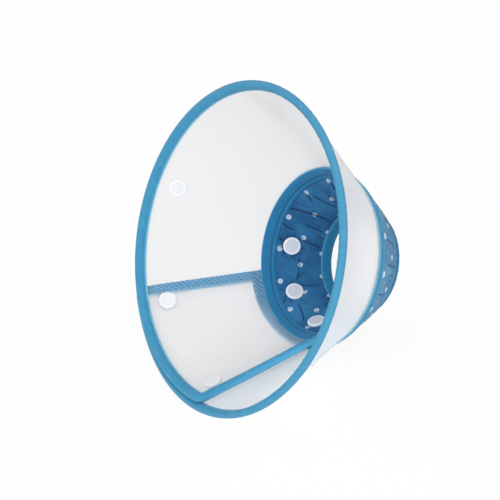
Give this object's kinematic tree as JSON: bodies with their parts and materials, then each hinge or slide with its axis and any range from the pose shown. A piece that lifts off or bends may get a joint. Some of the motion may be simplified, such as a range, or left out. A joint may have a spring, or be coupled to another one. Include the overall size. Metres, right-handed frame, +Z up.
{
  "type": "elizabethan collar",
  "caption": "Cone collar for a small pet: a clear rolled sheet with bound edges, a padded dotted neck band and snap buttons that close the lap of its two ends.",
  "frame": {"origin": "middle of the bounding box, on the table that the collar lies on", "axes": "+X across the rim from the inner panel to the outer panel, -Y out of the rim, +Z up; the cone's axis runs from rim to neck along +Y and down"},
  "size_m": [0.2216, 0.1786, 0.1886],
  "materials": {
    "clear_sheet": "satin",
    "binding": "matte",
    "seam_tape": "matte",
    "lining": "matte",
    "cover": "matte",
    "padding": "matte",
    "snap": "gloss"
  },
  "bodies": {
    "outer_wing": {"outer_sheet": "clear_sheet", "outer_rim_tape": "binding", "outer_end_tape": "binding", "outer_seam_tape_inside": "seam_tape", "outer_seam_tape_outside": "seam_tape", "outer_band_lining": "lining", "outer_band_padding": "padding", "outer_band_cover": "cover", "outer_band_end_tape": "binding", "outer_neck_tape": "binding", "rim_stud": "snap", "rim_stud_cap": "snap", "neck_stud": "snap", "neck_stud_cap": "snap"},
    "crown": {"crown_sheet": "clear_sheet", "crown_rim_tape": "binding", "crown_seam_tape_inside": "seam_tape", "crown_seam_tape_outside": "seam_tape", "crown_band_lining": "lining", "crown_band_padding": "padding", "crown_band_cover": "cover", "crown_neck_tape": "binding"},
    "inner_wing": {"inner_sheet": "clear_sheet", "inner_rim_tape": "binding", "inner_end_tape": "binding", "inner_seam_tape_inside": "seam_tape", "inner_seam_tape_outside": "seam_tape", "inner_band_lining": "lining", "inner_band_padding": "padding", "inner_band_cover": "cover", "inner_band_end_tape": "binding", "inner_neck_tape": "binding", "rim_snap_caps": "snap", "rim_snap_sockets": "snap", "neck_snap_caps": "snap", "neck_snap_sockets": "snap"}
  },
  "joints": [
    {"name": "crown_swing", "type": "hinge", "parent": "outer_wing", "child": "crown", "pos_m": [0.07884, 0.01508, 0.06827], "axis": [-0.5446, 0.7034, -0.4568], "range_deg": [0, 70]},
    {"name": "inner_flap_swing", "type": "hinge", "parent": "crown", "child": "inner_wing", "pos_m": [-0.07884, 0.01508, 0.06827], "axis": [0.5446, 0.7034, -0.4568], "range_deg": [0, 35]}
  ],
  "couplings": [
    {"joint": "inner_flap_swing", "follows": "crown_swing", "ratio": 0.5}
  ]
}
